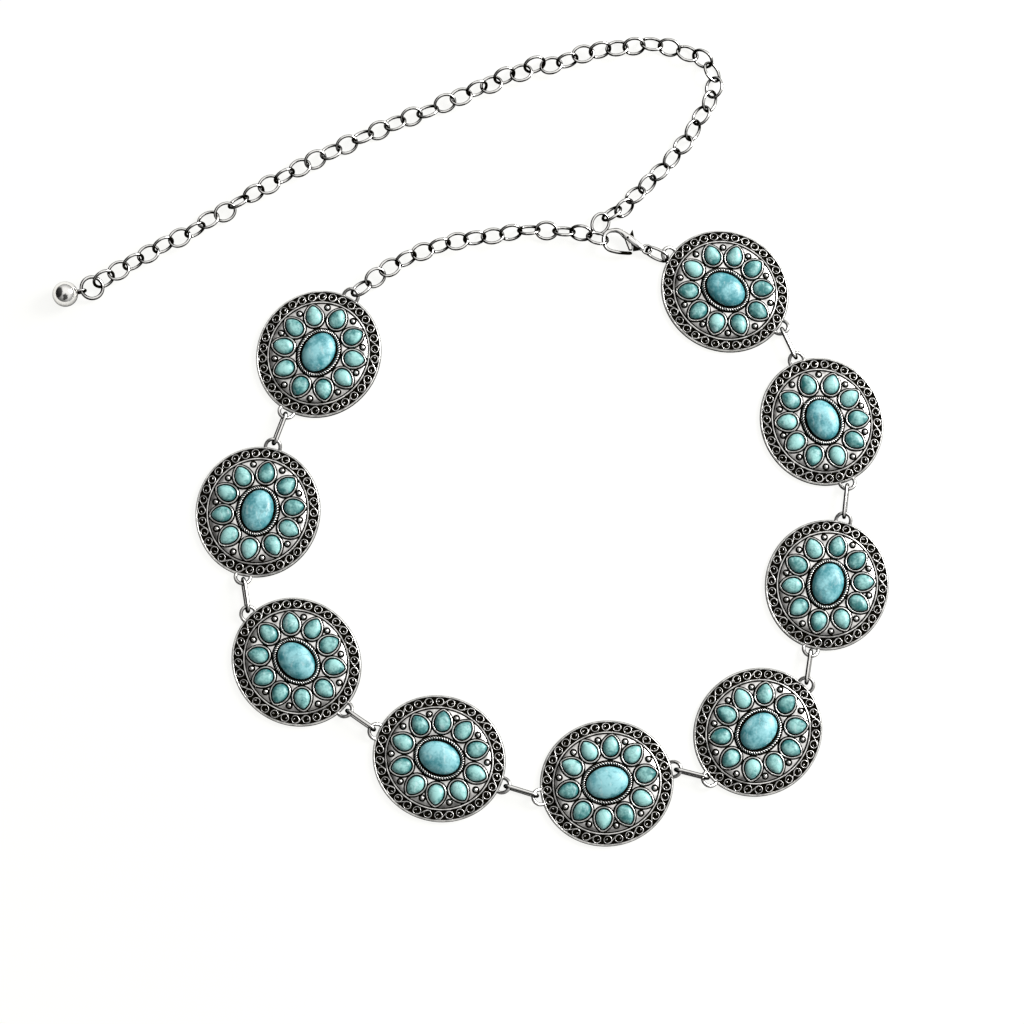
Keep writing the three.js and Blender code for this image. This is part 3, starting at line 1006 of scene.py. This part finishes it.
class BELT_OT_scrolls(Operator):
    """Raises the running double scrolls on the plates' dark bands"""

    bl_idname = "belt.scrolls"
    bl_label = "Scroll bands"

    def execute(self, context):
        sizes = in_millimetres(context.scene.concho_belt.concho)
        shape = new_shape()
        for pair in range(sizes.scroll_pairs):
            self.add_double_scroll(shape, sizes, pair)
        copy_to_conchos("scroll_band", shape)
        return {"FINISHED"}

    def double_scroll(self, pitch, outer):
        """The line of one double scroll, along the band and across it, from one eye to the other."""
        leaving = acos(outer / (pitch / 2))
        steps = round(SCROLL_TURNS * SCROLL_STEPS)
        half = []
        for i in range(steps + 1):
            share = i / steps
            angle = leaving + FULL_TURN * SCROLL_TURNS * (1 - share)
            radius = SCROLL_EYE + (outer - SCROLL_EYE) * (1 - (1 - share) ** SCROLL_CURL)
            half.append(Vector((-pitch / 2 + radius * cos(angle), radius * sin(angle))))
        return [*half, *(-point for point in reversed(half))]

    def add_double_scroll(self, shape, sizes, pair):
        narrowing = sizes.width / sizes.length
        pitch = pi * BAND_RADIUS / sizes.scroll_pairs
        outer = (sizes.scroll_size - sizes.scroll_line * SCROLL_LINE_INSIDE) / 2
        line = self.double_scroll(pitch, outer)
        last = len(line) - 1
        middle = FULL_TURN * (pair + 0.5) / sizes.scroll_pairs

        def ridge_vertex(heading, row):
            along = (line[min(row + 1, last)] - line[max(row - 1, 0)]).normalized()
            side = Vector((-along.y, along.x)) * cos(heading) * sizes.scroll_line * SCROLL_SPREAD
            point = line[row] + side
            x, y = oval_outline(middle + point.x / BAND_RADIUS, BAND_RADIUS + point.y, BAND_RADIUS + point.y)
            crest = sin(heading) > 0.5
            height = BAND_FLOOR - point.y * BAND_RISE + (SCROLL_CREST if crest else SCROLL_FOOT)
            tone = SCROLL_DARK_TONE if min(row, last - row) in SCROLL_DARK_ROWS else 1
            return Vector((x, y * narrowing, height)), crest * tone

        add_column(shape, 3, len(line), ridge_vertex)


def places_round(first, distance, swing):
    """Places in an oval round a concho's middle, turned outwards, the first at that share of a step."""
    places = []
    for i in range(PETAL_COUNT):
        heading = 360 * (i + first) / PETAL_COUNT
        reach = distance + swing * cos(2 * radians(heading))
        places.append(placing(*oval_outline(radians(heading), reach, reach), 0, heading))
    return places


def petal_places():
    return places_round(0, PETAL_MEAN_DISTANCE, PETAL_DISTANCE_SWING)


class BELT_OT_settings(Operator):
    """Builds the walls round the stones, the rope borders and the small balls in their dimples"""

    bl_idname = "belt.settings"
    bl_label = "Stone settings"

    def execute(self, context):
        sizes = in_millimetres(context.scene.concho_belt.concho)
        self.narrowing = sizes.width / sizes.length
        walls = new_shape()
        for place in petal_places():
            self.add_petal_wall(walls, sizes, place)
        self.add_wall(walls, CENTRE_SEAT, CENTRE_SEAT_STEPS, oval_outline)
        copy_to_conchos("stone_walls", walls)
        rope = new_shape()
        self.add_rope(rope, sizes)
        copy_to_conchos("rope_border", rope)
        balls = new_shape()
        for place in places_round(0.5, BALL_DISTANCE, BALL_DISTANCE_SWING):
            self.add_ball(balls, sizes, place.translation)
        copy_to_conchos("small_balls", balls)
        return {"FINISHED"}

    def on_field(self, x, y, height):
        return Vector((x, y, field_height(x, y, self.narrowing) + height))

    def add_wall(self, shape, section, steps, outline):
        """A ring on the field. A row of its section ends with height and tone, and outline takes the rest."""

        def wall_vertex(heading, corner):
            *sizes, height, tone = section[corner]
            return self.on_field(*outline(heading, *sizes), height), tone

        add_ring(shape, len(section), steps, wall_vertex)

    def add_petal_wall(self, shape, sizes, place):
        def outline(heading, outside):
            x, y = drop_outline(heading, sizes.petal_length / 2 + outside, sizes.petal_width / 2 + outside)
            return (place @ Vector((x, y, 0))).xy

        self.add_wall(shape, PETAL_WALL, PETAL_WALL_STEPS, outline)

    def add_rope(self, shape, sizes):
        """A two-strand rope laid in an oval; its lobes catch the light and its grooves are dark."""
        half_length, half_width = ROPE_PATH

        def rope_vertex(heading, corner):
            angle = FULL_TURN * corner / ROPE_SIDES
            lobe = cos(2 * angle - ROPE_STRANDS * heading)
            radius = sizes.rope_wire / 2 * (ROPE_CORE + ROPE_LOBE * lobe)
            x, y = oval_outline(heading, half_length, half_width)
            outward = Vector((x / half_length ** 2, y / half_width ** 2)).normalized()
            reach = radius * sin(angle)
            height = ROPE_HEIGHT + radius * cos(angle)
            tone = min(max(0.2 + 1.7 * lobe + 0.2 * cos(angle), 0), 1)
            return Vector((x + outward.x * reach, y + outward.y * reach, height)), tone

        add_ring(shape, ROPE_SIDES, ROPE_STRANDS * ROPE_STEPS_A_STRAND, rope_vertex)

    def add_ball(self, shape, sizes, middle):
        """A small ball in its dimple."""
        half = sizes.ball / 2

        def circle(turn, radius):
            return middle.x + radius * cos(turn), middle.y + radius * sin(turn)

        def ball_vertex(turn, row):
            rise = pi / 2 * row / (BALL_ROWS - 1)
            height = half * BALL_FLATNESS * sin(rise) - BALL_SUNK
            # Tone: the ball's lower sides, down by the dimple, are painted black as shade
            return self.on_field(*circle(turn, half * cos(rise)), height), 1.5 * sin(rise) - 0.5

        self.add_wall(shape, DIMPLE, DIMPLE_STEPS, circle)
        add_column(shape, BALL_SIDES, BALL_ROWS, ball_vertex)


class BELT_OT_stones(Operator):
    """Cuts the turquoise cabochons: one oval centre stone and ten petals for each concho"""

    bl_idname = "belt.stones"
    bl_label = "Stones"

    def execute(self, context):
        sizes = in_millimetres(context.scene.concho_belt.concho)
        centre = SimpleNamespace(
            outline=oval_outline,
            half=(sizes.centre_length / 2, sizes.centre_width / 2),
            girdle=CENTRE_GIRDLE,
            height=sizes.centre_height,
            sides=CENTRE_SIDES,
        )
        petal = SimpleNamespace(
            outline=drop_outline,
            half=(sizes.petal_length / 2 - PETAL_GAP, sizes.petal_width / 2 - PETAL_GAP),
            girdle=PETAL_GIRDLE,
            height=sizes.petal_height,
            sides=PETAL_SIDES,
        )
        chance = random.Random(SEED)
        for i, place in enumerate(concho_places(), start=1):
            stone = new_shape()
            self.add_cabochon(stone, centre, place, chance.random())
            make_piece(f"centre_cabochon_{i}", stone, CENTRE_TURQUOISE, (f"centre_stone_{i}",))
            stones = new_shape()
            for petal_place in petal_places():
                self.add_cabochon(stones, petal, place @ petal_place, chance.random())
            make_piece(f"petal_cabochons_{i}", stones, PETAL_TURQUOISE, (f"petal_stones_{i}",))
        return {"FINISHED"}

    def add_cabochon(self, shape, cut, place, tone):
        """A stone of that cut, whose tone shifts its shade."""

        def stone_vertex(heading, row):
            share, rise = CABOCHON[row]
            x, y = cut.outline(heading, cut.half[0] * share, cut.half[1] * share)
            return place @ Vector((x, y, cut.girdle + cut.height * rise)), tone

        add_column(shape, cut.sides, len(CABOCHON), stone_vertex)


def loop_middle(concho, side):
    """Middle of a concho's loop: side is 1 at the end that its turn points to, and -1 at the other."""
    x, y, turn = concho
    reach = side * LOOP_FROM_MIDDLE
    angle = radians(turn)
    return Vector((x + reach * cos(angle), y + reach * sin(angle), LOOP_HEIGHT))


def loop_towards(concho, other):
    """The loop of one concho that is nearest to another concho."""
    target = Vector((other[0], other[1], 0))
    return min((loop_middle(concho, side) for side in (1, -1)), key=lambda end: (end - target).length)


def link_between(start, end, width, wire, roll):
    """Place of a rolled link that lies on the floor between two points."""
    heading = degrees(atan2(end.y - start.y, end.x - start.x))
    middle = (start + end) / 2
    rise = (width - wire) / 2 * sin(radians(roll))
    return placing(middle.x, middle.y, rise + wire / 2, heading, 0, roll)


class BELT_OT_connectors(Operator):
    """Bends the long links that join the conchos"""

    bl_idname = "belt.connectors"
    bl_label = "Connector links"

    def execute(self, context):
        sizes = in_millimetres(context.scene.concho_belt.chain)
        length, width, wire = sizes.connector_length, sizes.connector_width, sizes.connector_wire
        for i, (concho, other) in enumerate(zip(CONCHOS, CONCHOS[1:]), start=1):
            start = loop_towards(concho, other)
            end = loop_towards(other, concho)
            roll = CONNECTOR_ROLL + CHAIN_LEAN * (end - start).normalized().x
            place = link_between(start, end, width, wire, roll)
            shape = new_shape()
            add_link(shape, length, width, wire, place, CONNECTOR_TONE, CONNECTOR_STRAIGHTNESS)
            make_piece(f"connector_{i}", shape, POLISHED_SILVER, (f"connector_link_{i}",))
        return {"FINISHED"}


def links_along(middles, links_a_row, rolls, first_side, aside, sizes):
    """Places of a chain's links, rolled to either side in turn, on the floor or on their neighbours."""
    half_length = (sizes.link_length - sizes.link_wire) / 2
    half_width = (sizes.link_width - sizes.link_wire) / 2
    links = []
    for i, steps in enumerate(rolls):
        middle = Vector(between_rows(middles, i / links_a_row))
        ahead = Vector(between_rows(middles, (i + 0.5) / links_a_row))
        behind = Vector(between_rows(middles, (i - 0.5) / links_a_row))
        along = (ahead - behind).normalized()
        side = first_side * (-1 if i % 2 else 1)
        roll = ROLL_STEP * int(steps) * side + CHAIN_LEAN * along.x
        lean = sin(radians(roll))
        dx, dy = aside.get(i, (0, 0))
        middle += Vector((dx, dy, half_width * abs(lean) + sizes.link_wire / 2))
        heading = degrees(atan2(along.y, along.x))
        pitch = -degrees(asin(along.z))
        links.append(SimpleNamespace(middle=middle, lean=lean, turn=placing(0, 0, 0, heading, pitch, roll)))
    pairs = list(zip(links, links[1:]))
    for link, other in [*pairs, *((other, link) for link, other in reversed(pairs))]:
        apart = (other.middle - link.middle).xy.length / 2
        crossing = half_width * sqrt(max(0, 1 - (apart / half_length) ** 2))
        room = max(0, crossing * abs(link.lean - other.lean) - sizes.link_wire)
        other.middle.z = max(other.middle.z, link.middle.z - room)
    return [Matrix.Translation(link.middle) @ link.turn for link in links]


class BELT_OT_chains(Operator):
    """Links the short chain into the clasp and lays out the long tail"""

    bl_idname = "belt.chains"
    bl_label = "Chains"

    def execute(self, context):
        sizes = in_millimetres(context.scene.concho_belt.chain)
        short = links_along(SHORT_MIDDLES, SHORT_LINKS_A_ROW, SHORT_ROLLS, -1, {}, sizes)
        short.append(placing(**HOOKED_LINK))
        self.add_run(sizes, "short_chain_links", short, "short_chain")
        tail = links_along(TAIL_MIDDLES, TAIL_LINKS_A_ROW, TAIL_ROLLS, 1, TAIL_ASIDE, sizes)
        tail[0] = placing(**FIRST_TAIL_LINK)
        ends = [*TAIL_RUN_STARTS[1:], len(tail)]
        for i, (start, end) in enumerate(zip(TAIL_RUN_STARTS, ends), start=1):
            self.add_run(sizes, f"tail_chain_links_{i}", tail[start:end], f"tail_chain_{i}")
        return {"FINISHED"}

    def add_run(self, sizes, name, places, replaced_node):
        shape = new_shape()
        for place in places:
            add_link(shape, sizes.link_length, sizes.link_width, sizes.link_wire, place)
        make_piece(name, shape, POLISHED_SILVER, (replaced_node,))


class BELT_OT_free_end(Operator):
    """Hangs the ball with its eyelet on the end ring"""

    bl_idname = "belt.free_end"
    bl_label = "Free end"

    def execute(self, context):
        sizes = in_millimetres(context.scene.concho_belt.chain)
        ring = new_shape()
        place = placing(**END_RING_PLACE)
        add_link(ring, sizes.end_ring, sizes.end_ring, sizes.end_ring_wire, place, steps=END_RING_STEPS)
        make_piece("free_end_ring", ring, POLISHED_SILVER, ("end_ring",))
        ball = new_shape()
        radius = sizes.end_ball / 2
        place = placing(*BALL_PLACE, radius, END_RING_PLACE["heading"])
        bmesh.ops.create_uvsphere(
            ball, u_segments=END_BALL_SEGMENTS, v_segments=END_BALL_RINGS, radius=radius
        )
        # Tone: a grey band of painted dark reflection round the ball's sides
        bend(ball, lambda point: (place @ point, END_BALL_TONE - END_BALL_TONE_FALL * point.z / radius))
        eyelet = place @ placing(x=EYELET_FROM_BALL, z=-EYELET_DROP, roll=90)
        add_link(ball, sizes.eyelet, sizes.eyelet, sizes.eyelet_wire, eyelet)
        make_piece("free_end_ball", ball, POLISHED_SILVER, ("end_ball",))
        return {"FINISHED"}


class BELT_OT_clasp(Operator):
    """Shapes the lobster clasp with its sprung lever, and the link between its eye and the last concho"""

    bl_idname = "belt.clasp"
    bl_label = "Clasp"

    def execute(self, context):
        sizes = in_millimetres(context.scene.concho_belt.chain)
        place = placing(**CLASP_PLACE)
        body = self.clasp_body(sizes)
        make_piece("clasp_hook", body, POLISHED_SILVER, ("clasp_body",), BELT, CRISP_CLASP_EDGE, place)
        lever = new_shape()
        self.add_slab(lever, LEVER_OUTLINE, sizes.lever_thickness, LEVER_TONE, LEVER_DARK_EDGE)
        make_piece("clasp_gate", lever, POLISHED_SILVER, ("clasp_lever",), LEVER, CRISP_EDGE, place)
        self.add_clasp_link(sizes)
        return {"FINISHED"}

    def clasp_body(self, sizes):
        """Hook and shoulder with their slot, the eye, the pivot pin's ends and the cheeks beside the slot,
        which are black as painted shade.
        """
        arm = new_shape()

        def arm_vertex(heading, row):
            place = row / CLASP_STEPS_A_ROW
            x, y, half_width, half_depth, tone = between_rows(CLASP_BODY, place)
            ahead = between_rows(CLASP_BODY, place + 0.1)
            behind = between_rows(CLASP_BODY, place - 0.1)
            along = Vector((ahead[0] - behind[0], ahead[1] - behind[1], 0)).normalized()
            side = Vector((-along.y, along.x, 0)) * cos(heading) * half_width
            return Vector((x, y, sin(heading) * half_depth)) + side, tone

        add_column(arm, CLASP_SIDES, CLASP_STEPS_A_ROW * (len(CLASP_BODY) - 1) + 1, arm_vertex)
        body = cut_slot(arm)
        add_link(body, sizes.clasp_eye, sizes.clasp_eye, sizes.clasp_eye_wire, Matrix())
        for side in (1, -1):

            def rivet_vertex(heading, row, side=side):
                radius, height = RIVET[row]
                x = PIVOT[0] + radius * cos(heading)
                y = PIVOT[1] + radius * sin(heading)
                return Vector((x, y, side * height)), DARK_PART_TONE

            add_column(body, RIVET_SIDES, len(RIVET), rivet_vertex)
        # Black cheeks: painted shade inside the body
        for height in (-CLASP_CHEEK_HEIGHT, CLASP_CHEEK_HEIGHT):
            self.add_slab(body, CLASP_SHADE_WEB, CLASP_CHEEK_THICKNESS, 0, middle=height)
        return body

    def add_slab(self, shape, outline, thickness, tone, dark_edge=0.0, middle=0.0):
        """A plate of that outline with softened edges and, where asked for, a dark edge of that width, which
        is painted dark reflection. Beyond the pivot, a slab is dark all over.
        """
        slab = new_shape()
        bottom = slab.faces.new([slab.verts.new((x, y, middle - thickness / 2)) for x, y in outline])
        edge_corners = {seen_from_above(vertex.co) for vertex in slab.verts}
        inner_corners = set()
        if dark_edge:
            bottom.normal_update()
            bmesh.ops.inset_region(
                slab, faces=[bottom], thickness=dark_edge, use_even_offset=True, use_boundary=True
            )
            inner_corners = {seen_from_above(vertex.co) for vertex in slab.verts} - edge_corners
        top = bmesh.ops.extrude_face_region(slab, geom=slab.faces[:])["geom"]
        raised = [item for item in top if isinstance(item, bmesh.types.BMVert)]
        bmesh.ops.translate(slab, vec=(0, 0, thickness), verts=raised)
        bmesh.ops.recalc_face_normals(slab, faces=slab.faces)
        bmesh.ops.bevel(
            slab,
            geom=[edge for edge in slab.edges if edge.calc_face_angle(0) > CORNER],
            offset=SLAB_BEVEL,
            offset_type="OFFSET",
            affect="EDGES",
            segments=2,
            profile=0.5,
            material=-1,
        )

        def slab_vertex(point):
            bright = not dark_edge or seen_from_above(point) in inner_corners
            return point, tone if bright and point.y < PIVOT[1] else DARK_PART_TONE

        bend(slab, slab_vertex)
        join(shape, slab)

    def add_clasp_link(self, sizes):
        x, y, _ = CONCHOS[-1]
        loop = loop_middle(CONCHOS[-1], 1)
        outward = (loop - Vector((x, y, LOOP_HEIGHT))).normalized()
        start = Vector((CLASP_PLACE["x"] + CLASP_LINK_IN_EYE, CLASP_PLACE["y"], CLASP_PLACE["z"]))
        end = loop + outward * CLASP_LINK_IN_LOOP - Vector((0, CLASP_LINK_SAG, 0))
        width, wire = sizes.clasp_link_width, sizes.link_wire
        place = link_between(start, end, width, wire, CLASP_LINK_ROLL)
        shape = new_shape()
        add_link(shape, sizes.clasp_link_length, width, wire, place, straight=CLASP_LINK_STRAIGHTNESS)
        make_piece("clasp_oval_link", shape, POLISHED_SILVER, ("clasp_link",))


def seen_from_above(point):
    return round(point.x, 3), round(point.y, 3)


def cut_slot(shape):
    """The clasp's body with the slot for its lever cut out. The shape given is used up."""
    blank = put("clasp_blank", mesh_of("clasp_blank", shape))
    low = Vector((CLASP_SLOT["from_x"], CLASP_SLOT["from_y"], -CLASP_SLOT["height"] / 2))
    high = Vector((CLASP_SLOT["to_x"], CLASP_SLOT["to_y"], CLASP_SLOT["height"] / 2))
    size = Matrix.Diagonal((*(high - low), 1))
    block = bmesh.new()
    bmesh.ops.create_cube(block, size=1, matrix=Matrix.Translation((low + high) / 2) @ size)
    cutter = put("slot_cutter", mesh_of("slot_cutter", block))
    cut = blank.modifiers.new("slot", "BOOLEAN")
    cut.operation = "DIFFERENCE"
    cut.solver = "EXACT"
    cut.object = cutter
    slotted = bmesh.new()
    slotted.from_object(blank, bpy.context.evaluated_depsgraph_get())
    for item in (blank, cutter):
        mesh = item.data
        bpy.data.objects.remove(item)
        bpy.data.meshes.remove(mesh)
    return slotted


class BELT_PT_panel(Panel):
    """Lists the belt's pieces and sizes in the sidebar"""

    bl_idname = "BELT_PT_panel"
    bl_label = "Concho chain belt"
    bl_space_type = "VIEW_3D"
    bl_region_type = "UI"
    bl_category = "Belt"

    def draw(self, context):
        layout = self.layout
        for operator in PIECE_OPERATORS:
            layout.operator(operator.bl_idname)
        settings = context.scene.concho_belt
        for group in (settings.concho, settings.chain, settings.colours):
            box = layout.box()
            for name in group.__annotations__:
                box.prop(group, name)


PIECE_OPERATORS = (
    BELT_OT_stage,
    BELT_OT_plates,
    BELT_OT_scrolls,
    BELT_OT_settings,
    BELT_OT_stones,
    BELT_OT_connectors,
    BELT_OT_chains,
    BELT_OT_free_end,
    BELT_OT_clasp,
)
CLASSES = (ConchoSizes, ChainSizes, BeltColours, BeltSettings, *PIECE_OPERATORS, BELT_PT_panel)


def register():
    for item in CLASSES:
        bpy.utils.register_class(item)
    bpy.types.Scene.concho_belt = PointerProperty(type=BeltSettings)


def unregister():
    del bpy.types.Scene.concho_belt
    for item in reversed(CLASSES):
        bpy.utils.unregister_class(item)


def corners(box):
    """A box's two corners as plain lists of numbers."""
    return [[float(value) for value in corner] for corner in box]


def main():
    register()
    bpy.ops.belt.stage()
    bpy.ops.belt.plates()
    bpy.ops.belt.scrolls()
    bpy.ops.belt.settings()
    bpy.ops.belt.stones()
    bpy.ops.belt.connectors()
    bpy.ops.belt.chains()
    bpy.ops.belt.free_end()
    bpy.ops.belt.clasp()


if __name__ == "__main__":
    main()
